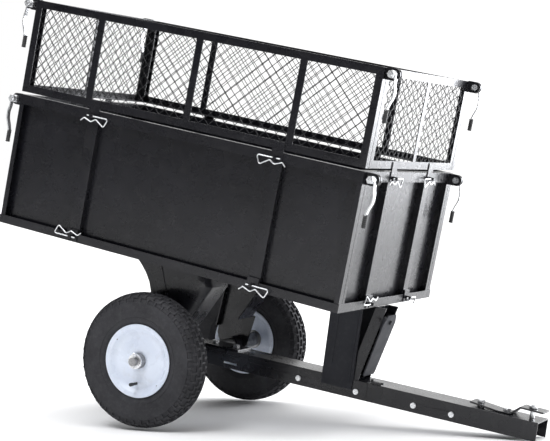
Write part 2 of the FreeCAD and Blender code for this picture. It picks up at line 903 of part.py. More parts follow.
def panel_half(face):
    """Half of a panel's length: the end panels stand between the side panels."""
    return half_length - back_off if face[0] == "y" else side_inner - 1.5


def slotted_tab(face, u, z_stud, low, high, vs):
    """A tab with a slot that drops over a stud."""
    half = dim("tab_width") / 2
    slot = stud_radius + dim("seat_gap")
    tab = slab(face, (u - half, u + half), vs, (low, high))
    reach = (vs[0] - 1, vs[1] + 1)
    mouth = slab(face, (u - slot, u + slot), reach, (low - 1, z_stud))
    return cut(tab, mouth, peg(face, u, z_stud, reach, slot))


def ear(face, z, slotted):
    """Latch ears at both ends of a wall; those of the end walls drop over the bolts."""
    ears = []
    for end in (-1, 1):
        sign = face[1] if face[0] == "y" else end
        forward = end if face[0] == "y" else face[1]
        inner = side_inner + 2 if face[0] == "y" else side_inner - 7
        ys = (sign * inner, sign * (inner + dim("ear_wall")))
        start = forward * (half_length - back_off)
        bolt_at = forward * latch_x
        blank = fuse(
            box((start, bolt_at), ys, (z - ear_radius, z + ear_radius)),
            rod("y", (bolt_at, z), ys, ear_radius),
        )
        wide = latch_radius + dim("seat_gap")
        through = (ys[0] - sign, ys[1] + sign)
        tools = [rod("y", (bolt_at, z), through, wide)]
        if slotted:
            mouth = (bolt_at - wide, bolt_at + wide)
            tools.append(box(mouth, through, (z - ear_radius - 2, z)))
        ears.append(cut(blank, *tools))
    return ears


def make_panel(face):
    """A sheet with flanges folded outwards, returns, feet, top studs and latch ears."""
    out = wall_edge(face) - back_off
    back = out - depth
    half = panel_half(face)
    high_zone = (panel_high - dim("top_return"), panel_high)
    low_zone = (panel_low, panel_low + dim("return_width"))
    front = (out - skin, out)
    full = (panel_low, panel_high)
    pieces = [
        slab(face, (-half, half), (back, back + skin), full),
        slab(face, (-half, half), (back, out), (panel_low, panel_low + skin)),
        slab(face, (-half, half), (back, out), (panel_high - skin, panel_high)),
        slab(face, (-half, half), front, high_zone),
        slab(face, (-half, half), front, low_zone),
    ]
    for end in (-1, 1):
        edge = end * half
        pieces.append(slab(face, (edge, edge - end * skin), (back, out), full))
        pieces.append(slab(face, (edge, edge - end * dim("return_width")), front, full))
    foot_out = (wall_edge(face) + 0.3, wall_edge(face) + 0.3 + dim("tab_wall"))
    bridge = (rise + dim("lip_height") + 0.5, rise + dim("lip_height") + 10)
    for u in shares(face):
        half_tab = dim("tab_width") / 2
        pieces.append(slab(face, (u - half_tab, u + half_tab), (out, foot_out[1]), bridge))
        pieces.append(slotted_tab(face, u, stud_z, rise + 1.5, bridge[1], foot_out))
        pieces.append(stud(face, u, top_stud_z, out))
    pieces += ear(face, latch_low, face[0] == "x")
    return fuse(*pieces)


def make_ribs(face):
    """Two upright channels in the panel's outer face."""
    out = wall_edge(face) - back_off - skin
    back = out + skin - depth + skin
    zs = (panel_low + skin + 0.2, panel_high - skin - 0.2)
    half_rib = dim("rib_width") / 2
    ribs = []
    for u in shares(face):
        ribs.append(
            fuse(
                slab(face, (u - half_rib, u + half_rib), (out - skin, out - 0.05), zs),
                slab(face, (u - half_rib, u - half_rib + skin), (back, out - 0.05), zs),
                slab(face, (u + half_rib - skin, u + half_rib), (back, out - 0.05), zs),
            )
        )
    return group(*ribs)


def make_mesh_frame(face):
    """An angle-iron frame with upright bars, hanging tabs and latch ears."""
    out = wall_edge(face) - back_off
    half = panel_half(face)
    leg = dim("angle_leg")
    wall = dim("angle_wall")
    front = (out - wall, out)
    shelf = (out - leg, out)
    pieces = [
        slab(face, (-half, half), front, (mesh_high - leg, mesh_high)),
        slab(face, (-half, half), shelf, (mesh_high - wall, mesh_high)),
        slab(face, (-half, half), front, (mesh_low, mesh_low + leg)),
        slab(face, (-half, half), shelf, (mesh_low, mesh_low + wall)),
    ]
    for end in (-1, 1):
        edge = end * half
        zs = (mesh_low, mesh_high)
        pieces.append(slab(face, (edge, edge - end * leg), front, zs))
        pieces.append(slab(face, (edge, edge - end * wall), shelf, zs))
    bars = (-dim("rib_share") - 22, 0, dim("rib_share") + 22) if face[0] == "y" else (0,)
    for u in bars:
        pieces.append(slab(face, (u - leg / 2, u + leg / 2), front, (mesh_low, mesh_high)))
    tab_out = (out + 0.3, out + 0.3 + dim("tab_wall"))
    for u in shares(face):
        half_tab = dim("tab_width") / 2
        join = (mesh_low + 1, mesh_low + leg - 2)
        pieces.append(slab(face, (u - half_tab, u + half_tab), (out - wall, tab_out[1]), join))
        pieces.append(slotted_tab(face, u, top_stud_z, top_stud_z - 9, join[1], tab_out))
    pieces += ear(face, latch_high, face[0] == "x")
    return fuse(*pieces)


def clip_to_box(points, low, high):
    """Clips a convex outline to an upright box."""
    for axis in (0, 1):
        for limit, keep in ((low[axis], 1), (high[axis], -1)):
            kept = []
            for number, point in enumerate(points):
                before = points[number - 1]
                inside = keep * (point[axis] - limit) >= 0
                was_inside = keep * (before[axis] - limit) >= 0
                if inside != was_inside:
                    share = (limit - before[axis]) / (point[axis] - before[axis])
                    crossing = [a + (b - a) * share for a, b in zip(before, point)]
                    crossing[axis] = limit
                    kept.append(crossing)
                if inside:
                    kept.append(point)
            points = kept
    return points


def polygon_area(points):
    pairs = zip(points, points[1:] + points[:1])
    return abs(sum(a[0] * b[1] - b[0] * a[1] for a, b in pairs)) / 2


def make_screen(face):
    """A flat screen of crossing strands at 45 degrees, behind the mesh frame's bars."""
    out = (wall_edge(face) - back_off - dim("angle_wall")).value
    half = (panel_half(face) - dim("angle_wall")).value - 0.3
    low_z = (mesh_low + dim("angle_wall")).value + 0.3
    high_z = (mesh_high - dim("angle_wall")).value - 0.3
    thick = sheet.get("mesh_strand")
    pitch = sheet.get("mesh_pitch")
    border = sheet.get("mesh_border")
    reach = pitch / 2 - thick / math.sqrt(2)
    axis, sign = face
    inner = sign * (out - thick)

    def corner(u, z):
        return FreeCAD.Vector(u, inner, z) if axis == "y" else FreeCAD.Vector(inner, u, z)

    def ring(points):
        corners = [corner(*point) for point in points]
        return Part.makePolygon(corners + corners[:1])

    low = (-half + border, low_z + border)
    high = (half - border, high_z - border)
    holes = []
    columns = int(half * 2 / pitch) + 2
    rows = int((high_z - low_z) * 2 / pitch) + 3
    for i in range(-columns, columns + 1):
        for j in range(rows):
            if (i + j) % 2:
                continue
            u = i * pitch / 2
            z = low_z + j * pitch / 2
            diamond = [[u - reach, z], [u, z - reach], [u + reach, z], [u, z + reach]]
            clipped = clip_to_box(diamond, low, high)
            if len(clipped) > 2 and polygon_area(clipped) > 12:
                holes.append(ring(clipped[::-1]))
    outline = ring([(-half, low_z), (half, low_z), (half, high_z), (-half, high_z)])
    blank = Part.Face([outline] + holes)
    push = FreeCAD.Vector(0, sign * thick, 0) if axis == "y" else FreeCAD.Vector(sign * thick, 0, 0)
    screen = doc.addObject("Part::Feature", "screen")
    screen.Shape = blank.extrude(push)
    return screen


for name, face in {**SIDES, **ENDS}.items():
    title = name if name == "tailgate" else f"{name}_panel"
    node(title, make_panel(face), BED)
    node(f"{name}_ribs", make_ribs(face), BED)
    node(f"{name}_mesh_frame", make_mesh_frame(face), BED)
    node(f"{name}_screen", make_screen(face), BED)

# -------------------------------------------------------------- spring clips


def rounded_path(corners, radii):
    """A wire of straight runs joined by tangent arcs, one radius for each inner corner."""
    edges = []
    start = corners[0]
    for before, corner, after, radius in zip(corners, corners[1:], corners[2:], radii):
        back = (before - corner).normalize()
        ahead = (after - corner).normalize()
        half_angle = back.getAngle(ahead) / 2
        reach = radius / math.tan(half_angle)
        middle = (back + ahead).normalize() * (radius / math.sin(half_angle) - radius)
        enter, leave = corner + back * reach, corner + ahead * reach
        edges.append(Part.LineSegment(start, enter))
        edges.append(Part.Arc(enter, corner + middle, leave))
        start = leave
    edges.append(Part.LineSegment(start, corners[-1]))
    return Part.Wire([edge.toShape() for edge in edges])


def clip_shape(face, u, z, v, turn, lift):
    """A bent-wire clip through a stud: a straight leg and a zigzag one that springs over it.

    turn (1 or -1) says which way along the wall the closed end points; lift (1 or -1)
    says whether the zigzag lies above or below the straight leg.
    """
    axis, sign = face
    length = sheet.get("clip_length")
    reach = sign * (v.value + sheet.get("clip_reach"))
    u, z = as_size(u).value, as_size(z).value

    def spot(along_wall, up):
        place = (u + turn * along_wall, reach, z + lift * up)
        return FreeCAD.Vector(*place) if axis == "y" else FreeCAD.Vector(place[1], place[0], place[2])

    crest = sheet.get("stud_dia") / 2 + 10
    bends = [
        (-0.17 * length, 0),
        (0.62 * length, 0),
        (0.49 * length, 0.28 * length),
        (0.17 * length, 0.08 * length),
        (0, crest),
        (-0.26 * length, 0.09 * length),
        (-0.38 * length, 0.20 * length),
    ]
    path = rounded_path([spot(*bend) for bend in bends], (4, 4, 5, 5, 4))
    section = Part.makeCircle(sheet.get("clip_wire") / 2, spot(*bends[0]), spot(1, 0) - spot(0, 0))
    return path.makePipeShell([Part.Wire(section)], True, True)


def clip_node(label, places):
    clips = doc.addObject("Part::Feature", "clips")
    clips.Shape = Part.makeCompound([clip_shape(*place) for place in places])
    node(label, clips, BED)


low_clips = []
side_clips = []
for name, face in {**SIDES, **ENDS}.items():
    back, front = shares(face)
    low_clips.append((face, back, stud_z, wall_edge(face), -1, 1))
    low_clips.append((face, front, stud_z, wall_edge(face), 1, -1))
    out = wall_edge(face) - back_off
    top_pair = [(face, back, top_stud_z, out, 1, -1), (face, front, top_stud_z, out, -1, -1)]
    if face[0] == "y":
        side_clips += top_pair
    else:
        clip_node(f"{name}_clips", top_pair)
clip_node("floor_clips", low_clips)
clip_node("side_clips", side_clips)

# ------------------------------------------------------------ corner latches


def latch_bolt(side, forward, z):
    """A bolt across the ears: head inside, nut outside the lever's knuckle."""
    spot = (forward * latch_x, z)
    head_out = side_inner - 7 - 0.4
    nut_in = side_inner + 6 + 1 + dim("strap_width") + 3.5
    shank = rod("y", spot, (side * head_out, side * (nut_in + 9)), latch_radius)
    head = rod("y", spot, (side * (head_out - 5), side * head_out), latch_radius + 2.5)
    nut = hexagon("y", spot, (side * nut_in, side * (nut_in + 6)), latch_radius + 4)
    return fuse(shank, head, nut)


def make_latch(side, forward, z):
    """A bowed strap lever that hangs from its bolt, with a grip at its end."""
    hold = dim("strap_width")
    inner = side_inner + 6 + 1
    ys = (side * inner, side * (inner + hold))
    x = forward * latch_x
    knuckle = tube("y", (x, z), ys, latch_radius + 3.8, latch_radius + dim("seat_gap"))
    length = dim("strap_length")
    wall = dim("strap_wall")
    bow = 7
    near = x + forward * (latch_radius + 0.6)
    far = near + forward * wall
    tip = x + forward * -1
    strap = pad(
        new_body(), "xz",
        [
            (near, z, (near + forward * bow, z - length / 2)),
            (tip, z - length),
            (tip + forward * wall, z - length, (far + forward * bow, z - length / 2)),
            (far, z),
        ],
        ys,
    )
    opening = rod("y", (x, z), (ys[0] - side, ys[1] + side), latch_radius + dim("seat_gap"))
    grip_y = side * (inner + hold / 2)
    grip_x = tip + forward * wall / 2
    grip = rod("z", (grip_x, grip_y), (z - length - dim("grip_length"), z - length), dim("grip_dia") / 2)
    return group(fuse(knuckle, cut(strap, opening)), grip)


bolts = []
for end_name, (_, forward) in ENDS.items():
    for name, (_, side) in SIDES.items():
        for level, z in (("low", latch_low), ("high", latch_high)):
            bolts.append(latch_bolt(side, forward, z))
            place = "rear" if end_name == "tailgate" else "front"
            node(f"{place}_{name}_{level}_latch", make_latch(side, forward, z), BED)
node("latch_bolts", group(*bolts), BED)

# ------------------------------------------------------------------ finishing

doc.recompute()
failed = [
    (obj.Label, obj.getStatusString())
    for obj in doc.Objects
    if {"Invalid", "Error"} & set(obj.State)
]
if failed:
    raise RuntimeError(f"these objects did not build: {failed}")

for obj, frame in nodes.values():
    obj.Placement = frame
doc.recompute()

whole = FreeCAD.BoundBox()
for obj, _ in nodes.values():
    whole.add(obj.Shape.optimalBoundingBox(True, False))
centring = FreeCAD.Placement(
    FreeCAD.Vector(-(whole.XMin + whole.XMax) / 2, -(whole.YMin + whole.YMax) / 2, 0),
    FreeCAD.Rotation(),
)
for obj, frame in nodes.values():
    obj.Placement = centring.multiply(frame)
doc.recompute()

for label, (obj, _) in nodes.items():
    if obj.Shape.isNull() or not obj.Shape.isValid():
        raise RuntimeError(f"{label} has no valid shape")
for label, (obj, _) in nodes.items():
    obj.Shape.exportStep(f"parts/{label}.step")

print(f"{len(nodes)} nodes, {sum(len(obj.Shape.Solids) for obj, _ in nodes.values())} solids")
print(f"shift {centring.Base.x:.4f} {centring.Base.y:.4f} {centring.Base.z:.4f}")
print(f"tongue pitch {tongue_pitch:.5f} bed pitch {tongue_pitch + sheet.get('bed_tilt'):.5f}")
print(f"box {whole.XLength:.2f} {whole.YLength:.2f} {whole.ZMin:.3f} {whole.ZMax:.2f}")
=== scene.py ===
import json
import math
import random

import bpy
from mathutils import Matrix, Vector


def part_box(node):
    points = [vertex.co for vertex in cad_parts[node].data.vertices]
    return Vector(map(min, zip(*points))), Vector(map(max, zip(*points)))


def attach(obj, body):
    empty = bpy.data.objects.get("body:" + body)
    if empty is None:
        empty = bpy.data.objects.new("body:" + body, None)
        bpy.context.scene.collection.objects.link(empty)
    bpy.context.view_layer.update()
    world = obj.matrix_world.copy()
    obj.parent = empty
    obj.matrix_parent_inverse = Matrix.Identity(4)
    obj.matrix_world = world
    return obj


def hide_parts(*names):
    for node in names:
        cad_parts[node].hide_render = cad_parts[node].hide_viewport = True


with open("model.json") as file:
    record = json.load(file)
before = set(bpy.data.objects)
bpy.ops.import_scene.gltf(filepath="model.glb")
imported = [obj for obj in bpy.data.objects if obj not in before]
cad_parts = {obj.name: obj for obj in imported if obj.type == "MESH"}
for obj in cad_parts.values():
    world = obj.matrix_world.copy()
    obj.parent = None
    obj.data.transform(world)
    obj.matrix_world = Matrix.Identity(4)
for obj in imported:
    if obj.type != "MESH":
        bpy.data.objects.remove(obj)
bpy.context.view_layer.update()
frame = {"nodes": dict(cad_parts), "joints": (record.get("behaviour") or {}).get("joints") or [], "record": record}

# Tipping cart. Lengths are metres. Latches, screens and legs are placed in the working frame
# BED: its origin is the axle's centre and it lies level with the bed, with +X forward, +Y
# the cart's left and +Z up.

NODES = frame["nodes"]
JOINTS = {joint["name"]: joint for joint in frame["joints"]}
SLOT_OF = {part["node"]: part["material_slot"] for part in frame["record"]["subparts"]}
AXLE = Vector(JOINTS["bed_tip"]["pos_m"])
MM = 0.001
SIDES = {"left": 1, "right": -1}


def working_frame(up):
    """The frame at the axle whose Z is a slide's axis and whose Y is the cart's."""
    across = Vector((0, 1, 0))
    up = Vector(up).normalized()
    turn = Matrix((across.cross(up), across, up)).transposed().to_4x4()
    return Matrix.Translation(AXLE) @ turn


BED = working_frame(JOINTS["tailgate_lift"]["axis"])


def extent(node, place):
    """Lowest and highest corner of a CAD node in a working frame."""
    inverse = place.inverted()
    points = [inverse @ vertex.co for vertex in NODES[node].data.vertices]
    low = Vector(min(point[axis] for point in points) for axis in range(3))
    high = Vector(max(point[axis] for point in points) for axis in range(3))
    return low, high


# ------------------------------------------------------------------ materials


class Finish:
    """A material with short calls for the nodes that the finishes share."""

    def __init__(self, name):
        self.material = bpy.data.materials.new(name)
        self.material.use_nodes = True
        self.tree = self.material.node_tree
        self.shader = self.tree.nodes["Principled BSDF"]
        self.place = self.tree.nodes.new("ShaderNodeTexCoord").outputs["Object"]

    def link(self, source, target):
        self.tree.links.new(source, target)

    def noise(self, scale, detail=4, stretch=(1, 1, 1)):
        mapping = self.tree.nodes.new("ShaderNodeMapping")
        mapping.inputs["Scale"].default_value = stretch
        self.link(self.place, mapping.inputs["Vector"])
        texture = self.tree.nodes.new("ShaderNodeTexNoise")
        texture.inputs["Scale"].default_value = scale
        texture.inputs["Detail"].default_value = detail
        self.link(mapping.outputs["Vector"], texture.inputs["Vector"])
        return texture.outputs["Fac"]

    def cells(self, scale):
        texture = self.tree.nodes.new("ShaderNodeTexVoronoi")
        texture.inputs["Scale"].default_value = scale
        self.link(self.place, texture.inputs["Vector"])
        return texture.outputs["Distance"]

    def ramp(self, value, *stops):
        """A colour that runs through (place, shade) stops."""
        ramp = self.tree.nodes.new("ShaderNodeValToRGB")
        while len(ramp.color_ramp.elements) < len(stops):
            ramp.color_ramp.elements.new(0.5)
        for element, (place, shade) in zip(ramp.color_ramp.elements, stops):
            element.position = place
            element.color = (*shade, 1)
        self.link(value, ramp.inputs["Fac"])
        return ramp.outputs["Color"]

    def scaled(self, value, low, high, start=0.3, end=0.7):
        """A value taken from its start and end to low and high."""
        spread = self.tree.nodes.new("ShaderNodeMapRange")
        spread.inputs["From Min"].default_value = start
        spread.inputs["From Max"].default_value = end
        spread.inputs["To Min"].default_value = low
        spread.inputs["To Max"].default_value = high
        self.link(value, spread.inputs["Value"])
        return spread.outputs["Result"]

    def mixed(self, share, first, second):
        """First and second colours mixed by a share; either may be a plain shade."""
        mix = self.tree.nodes.new("ShaderNodeMix")
        mix.data_type = "RGBA"
        self.link(share, mix.inputs["Factor"])
        for name, colour in (("A", first), ("B", second)):
            socket = next(s for s in mix.inputs if s.name == name and s.type == "RGBA")
            if isinstance(colour, tuple):
                socket.default_value = (*colour, 1)
            else:
                self.link(colour, socket)
        return next(s for s in mix.outputs if s.type == "RGBA")

    def bump(self, height, depth, under=None):
        """Relief of a depth in metres, on top of another one if given."""
        relief = self.tree.nodes.new("ShaderNodeBump")
        relief.inputs["Distance"].default_value = depth
        self.link(height, relief.inputs["Height"])
        if under:
            self.link(under, relief.inputs["Normal"])
        return relief.outputs["Normal"]

    def wear(self, colour=None, roughness=None, normal=None):
        """Connects the finish's colour, roughness and relief to its shader."""
        for name, source in (("Base Color", colour), ("Roughness", roughness), ("Normal", normal)):
            if source:
                self.link(source, self.shader.inputs[name])

    def fixed(self, **values):
        """Sets numbers that are the same all over the surface."""
        for name, value in values.items():
            self.shader.inputs[name.replace("_", " ")].default_value = value


def powder_coat():
    """Semi-gloss black powder coat: orange peel, faint dust and a few fine scuffs."""
    finish = Finish("black_powder_coat")
    broad = finish.noise(9, 6)
    tone = finish.ramp(broad, (0.3, (0.005, 0.005, 0.007)), (0.7, (0.009, 0.009, 0.012)))
    dust = finish.scaled(finish.noise(34, 8), 0, 0.035, 0.52, 0.74)
    dusty = finish.mixed(dust, tone, (0.16, 0.155, 0.15))
    scuffs = finish.scaled(finish.noise(60, 3, (1, 1, 14)), 0, 0.2, 0.70, 0.78)
    colour = finish.mixed(scuffs, dusty, (0.04, 0.04, 0.042))
    roughness = finish.scaled(finish.noise(26, 5), 0.22, 0.34)
    peel = finish.bump(finish.noise(1100, 2), 0.00012)
    waves = finish.bump(finish.noise(150, 2), 0.00025, peel)
    finish.wear(colour, roughness, waves)
    finish.fixed(Coat_Weight=0.22, Coat_Roughness=0.12, Specular_IOR_Level=0.27)
    return finish.material


def matte_coat():
    """The flatter, greyer coat of the stand and the release lever."""
    finish = Finish("matte_coat")
    tone = finish.ramp(
        finish.noise(12, 6), (0.3, (0.028, 0.029, 0.034)), (0.7, (0.038, 0.039, 0.045))
    )
    dust = finish.scaled(finish.noise(90, 8), 0, 0.14, 0.5, 0.74)
    roughness = finish.scaled(finish.noise(40, 5), 0.55, 0.7)
    grain = finish.bump(finish.noise(800, 3), 0.0002)
    finish.wear(finish.mixed(dust, tone, (0.10, 0.10, 0.10)), roughness, grain)
    finish.fixed(Specular_IOR_Level=0.12)
    return finish.material


def white_enamel():
    """Gloss enamel of the rims, cool white, with a little road dust in the dish."""
    finish = Finish("white_rim")
    broad = finish.noise(14, 5)
    tone = finish.ramp(broad, (0.3, (0.70, 0.76, 0.88)), (0.7, (0.76, 0.82, 0.93)))
    dust = finish.scaled(finish.noise(70, 8), 0, 0.16, 0.56, 0.75)
    colour = finish.mixed(dust, tone, (0.50, 0.50, 0.49))
    roughness = finish.scaled(finish.noise(40, 4), 0.22, 0.36)
    finish.wear(colour, roughness, finish.bump(finish.noise(500, 2), 0.0001))
    finish.fixed(Coat_Weight=0.3, Coat_Roughness=0.12)
    return finish.material


def tyre_rubber():
    """Matt charcoal rubber, dustier in patches, with a fine moulded grain."""
    finish = Finish("tyre_rubber")
    broad = finish.noise(18, 7)
    tone = finish.ramp(broad, (0.3, (0.019, 0.019, 0.022)), (0.72, (0.038, 0.038, 0.043)))
    dust = finish.scaled(finish.noise(130, 6), 0, 0.22, 0.50, 0.78)
    colour = finish.mixed(dust, tone, (0.10, 0.098, 0.096))
    roughness = finish.scaled(finish.noise(60, 5), 0.62, 0.84)
    grain = finish.bump(finish.noise(1500, 3), 0.00025)
    finish.wear(colour, roughness, finish.bump(finish.noise(220, 4), 0.0004, grain))
    finish.fixed(Specular_IOR_Level=0.35)
    return finish.material


def black_rubber():
    """Dip-moulded rubber of the grips and valves."""
    finish = Finish("black_rubber")
    tone = finish.ramp(
        finish.noise(90, 5), (0.3, (0.016, 0.016, 0.017)), (0.7, (0.030, 0.030, 0.031))
    )
    roughness = finish.scaled(finish.noise(160, 4), 0.45, 0.62)
    finish.wear(tone, roughness, finish.bump(finish.noise(1800, 2), 0.00015))
    return finish.material


def bright_zinc():
    """Bright zinc plate: crystalline tone, hazy patches and drawing lines."""
    finish = Finish("bright_zinc")
    tone = finish.ramp(
        finish.noise(210, 6), (0.3, (0.66, 0.67, 0.69)), (0.7, (0.86, 0.87, 0.88))
    )
    haze = finish.scaled(finish.noise(60, 5), 0, 0.5, 0.5, 0.8)
    colour = finish.mixed(haze, tone, (0.52, 0.52, 0.53))
    roughness = finish.scaled(finish.noise(320, 5), 0.20, 0.42)
    finish.wear(colour, roughness, finish.bump(finish.cells(900), 0.00008))
    finish.fixed(Metallic=0.9)
    return finish.material


def grey_steel():
    """Plain turned steel, oiled and slightly stained."""
    finish = Finish("grey_steel")
    tone = finish.ramp(
        finish.noise(70, 7), (0.3, (0.20, 0.20, 0.205)), (0.7, (0.40, 0.40, 0.41))
    )
    stains = finish.scaled(finish.noise(240, 5), 0, 0.6, 0.55, 0.8)
    colour = finish.mixed(stains, tone, (0.12, 0.105, 0.09))
    roughness = finish.scaled(finish.noise(150, 4), 0.30, 0.52)
    turned = finish.bump(finish.noise(700, 2, (1, 6, 1)), 0.0001)
    finish.wear(colour, roughness, turned)
    finish.fixed(Metallic=0.85)
    return finish.material


MATERIALS = {
    "white_rim": white_enamel(),
    "tyre_rubber": tyre_rubber(),
    "black_rubber": black_rubber(),
    "bright_zinc": bright_zinc(),
    "grey_steel": grey_steel(),
    "black_powder_coat": powder_coat(),
}
MATTE_COAT = matte_coat()
MATTE_NODES = ("stand", "release_lever")

# ---------------------------------------------------------------- mesh helpers


def smooth(mesh, sharp_degrees):
    for face in mesh.polygons:
        face.use_smooth = True
    mesh.set_sharp_from_angle(angle=math.radians(sharp_degrees))


def piece(name, parts, slot, body, stands_for=(), sharp=35):
    """One object from (vertices, faces) parts, which rides on a body."""
    vertices, faces = [], []
    for some_vertices, some_faces in parts:
        start = len(vertices)
        vertices += some_vertices
        faces += [[start + index for index in face] for face in some_faces]
    mesh = bpy.data.meshes.new(name)
    mesh.from_pydata(vertices, [], faces)
    mesh.validate()
    smooth(mesh, sharp)
    mesh.materials.append(MATERIALS[slot])
    obj = bpy.data.objects.new(name, mesh)
    bpy.context.scene.collection.objects.link(obj)
    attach(obj, body)
    if stands_for:
        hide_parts(*stands_for)
    return obj


def skin(rings, round_path=False, round_ring=True):
    """Faces over rings of vertices; open paths of round rings get end caps."""
    count = len(rings[0])
    vertices = [point for ring in rings for point in ring]
    faces = []
    steps = len(rings) if round_path else len(rings) - 1
    across = count if round_ring else count - 1
    for i in range(steps):
        near = i * count
        far = (i + 1) % len(rings) * count
        for j in range(across):
            k = (j + 1) % count
            faces.append([near + j, near + k, far + k, far + j])
    if round_ring and not round_path:
        faces.append(list(range(count))[::-1])
        faces.append([len(vertices) - count + j for j in range(count)])
    return vertices, faces


def wire(points, radius, sides=7):
    """A round wire through points."""
    rings = []
    for number, point in enumerate(points):
        before = points[max(number - 1, 0)]
        after = points[min(number + 1, len(points) - 1)]
        ahead = (after - before).normalized()
        side = ahead.cross(Vector((0.1, 0.2, 1))).normalized()
        up = side.cross(ahead)
        angles = [2 * math.pi * step / sides for step in range(sides)]
        rings.append([point + (side * math.cos(a) + up * math.sin(a)) * radius for a in angles])
    return skin(rings)


def lathe(profile, centre, axis="y", columns=96, closed=True):
    """Turns a profile of (along, radius) about an axis through a centre."""
    rings = []
    for column in range(columns):
        turn = 2 * math.pi * column / columns
        c, s = math.cos(turn), math.sin(turn)
        spots = [(r * c, a, r * s) if axis == "y" else (r * c, r * s, a) for a, r in profile]
        rings.append([centre + Vector(spot) for spot in spots])
    return skin(rings, True, closed)


def curve_through(points, steps):
    """A smooth line through points, with some steps between each pair."""
    line = []
    for number in range(len(points) - 1):
        before = points[max(number - 1, 0)]
        start, end = points[number], points[number + 1]
        after = points[min(number + 2, len(points) - 1)]
        for step in range(steps):
            t = step / steps
            line.append(
                0.5 * (
                    2 * start
                    + (end - before) * t
                    + (2 * before - 5 * start + 4 * end - after) * t**2
                    + (3 * start - before - 3 * end + after) * t**3
                )
            )
    return line + [points[-1]]


def moved(parts, place):
    """Parts taken from a working frame to the row's frame."""
    return [([place @ Vector(v) for v in vertices], faces) for vertices, faces in parts]


# ------------------------------------------------------------------- CAD nodes


SHEET_EDGE = 0.45 * MM
ROUND_EDGE = 0.3 * MM
EDGE_ANGLE = math.radians(32)


def finish_node(name, edge):
    """A CAD node with its own finish and softly rounded edges."""
    obj = NODES[name]
    obj.data.materials.clear()
    obj.data.materials.append(MATTE_COAT if name in MATTE_NODES else MATERIALS[SLOT_OF[name]])
    for face in obj.data.polygons:
        face.use_smooth = True
    weld = obj.modifiers.new("weld", "WELD")
    weld.merge_threshold = 0.02 * MM
    bevel = obj.modifiers.new("edges", "BEVEL")
    bevel.width = edge
    bevel.segments = 2
    bevel.limit_method = "ANGLE"
    bevel.angle_limit = EDGE_ANGLE
    bevel.harden_normals = True
    obj.modifiers.new("shade", "WEIGHTED_NORMAL")


for node_name, slot_name in SLOT_OF.items():
    finish_node(node_name, SHEET_EDGE if slot_name == "black_powder_coat" else ROUND_EDGE)

# --------------------------------------------------------------------- wheels

TREAD_PITCHES = 44
LUG_HEIGHT = 4.2 * MM
LUG_RELIEF = (0.0, 0.10, 0.14, 0.26, 0.36, 0.40, 0.50, 0.60, 0.64, 0.74, 0.86, 0.90)
TREAD_ROWS = ((0.0, 0.15), (0.20, 0.44), (0.49, 0.76), (0.80, 1.0))
TREAD_MARKS = 4
MARK_STEPS = 6
BLOCK_SLOPE = 0.018
BLOCK_SPAN = (0.12, 0.88)
SHOULDER_FADE = 0.45
WALL_INSET = 0.6 * LUG_HEIGHT
WALL_RINGS = ((0.71, 0.985), (0.62, 0.955))


def tread_outline(half, radius, rim_radius):
    """Half of the tyre's section, from the crown down to the bead, as (half-width, radius).

    The tread covers the stretch up to the mark that TREAD_MARKS counts.
    """
    base = radius - LUG_HEIGHT
    wide = half - WALL_INSET
    marks = [
        (0.0, base),
        (wide * 0.40, base - 1.2 * MM),
        (wide * 0.70, base - 5 * MM),
        (wide * 0.88, base - 11 * MM),
        (wide * 0.97, base - 21 * MM),
        (wide, (radius + rim_radius) / 2 - 2 * MM),
        (wide * 0.97, rim_radius + 20 * MM),
        (wide * 0.88, rim_radius + 8 * MM),
        (wide * 0.76, rim_radius + 1 * MM),
        (wide * 0.74, rim_radius - 7 * MM),
    ]
    return [Vector(mark) for mark in marks]


def section_lines(half, radius, rim_radius):
    """Points over half of the section with their tread row, or None off the blocks.

    Each is (point, outward, share across the tread, row).
    """
    line = curve_through(tread_outline(half, radius, rim_radius), MARK_STEPS)
    lengths = [0.0]
    for a, b in zip(line, line[1:]):
        lengths.append(lengths[-1] + (b - a).length)
    tread_end = TREAD_MARKS * MARK_STEPS
    tread_length = lengths[tread_end]

    def at(length):
        for number in range(len(line) - 1):
            if lengths[number + 1] >= length:
                share = (length - lengths[number]) / (lengths[number + 1] - lengths[number])
                return line[number].lerp(line[number + 1], share), number
        return line[-1], len(line) - 2

    marks = []
    for row, (start, end) in enumerate(TREAD_ROWS):
        if row:
            marks.append((start - BLOCK_SLOPE, None))
        marks += [(start + (end - start) * share, row) for share in (0, 0.33, 0.67, 1)]
        marks.append((end + BLOCK_SLOPE, None))
    below = range(tread_end + 2, len(line))
    marks += [(lengths[number] / tread_length, None) for number in below]
    spots = []
    for share, row in marks:
        point, number = at(share * tread_length)
        run = (line[number + 1] - line[number]).normalized()
        spots.append((point, Vector((-run.y, run.x)) * -1, share, row))
    return spots


def is_block(row, turn):
    """Whether the tread stands proud in a row at a share of the pitch."""
    if row is None:
        return False
    shifted_turn = (turn + (0.5 if row % 2 else 0.0)) % 1.0
    return BLOCK_SPAN[0] < shifted_turn < BLOCK_SPAN[1]


